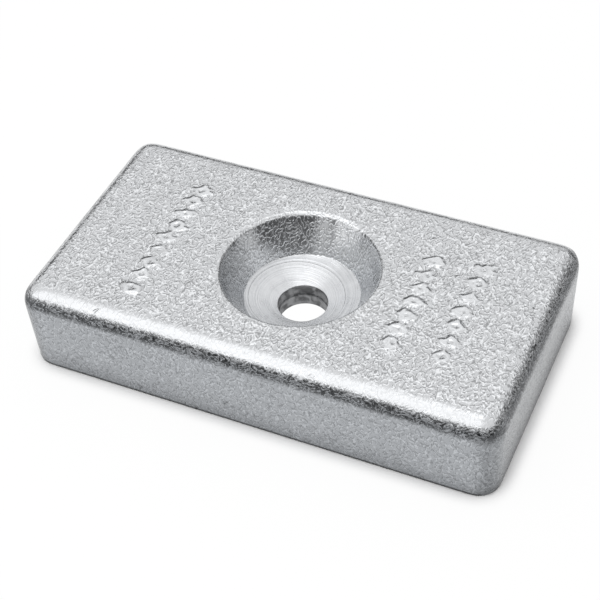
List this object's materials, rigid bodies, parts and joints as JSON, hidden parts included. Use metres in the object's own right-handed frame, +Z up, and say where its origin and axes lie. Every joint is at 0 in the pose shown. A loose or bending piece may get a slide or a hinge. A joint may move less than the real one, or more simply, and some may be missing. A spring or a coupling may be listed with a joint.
{
  "type": "sacrificial anode",
  "caption": "Cast zinc block anode with rounded edges and drafted walls, bolted to a hull or bracket through a conical recess with a central bolt hole.",
  "frame": {"origin": "middle of the underside, where the block meets what it is bolted to", "axes": "+X along the block's length, +Y across it, +Z up out of the bolt recess"},
  "size_m": [0.1038, 0.0558, 0.0205],
  "materials": {
    "cast_zinc": "as cast, pale grey, with a turned seat"
  },
  "bodies": {
    "root": {"anode_block": "cast_zinc"}
  },
  "joints": []
}
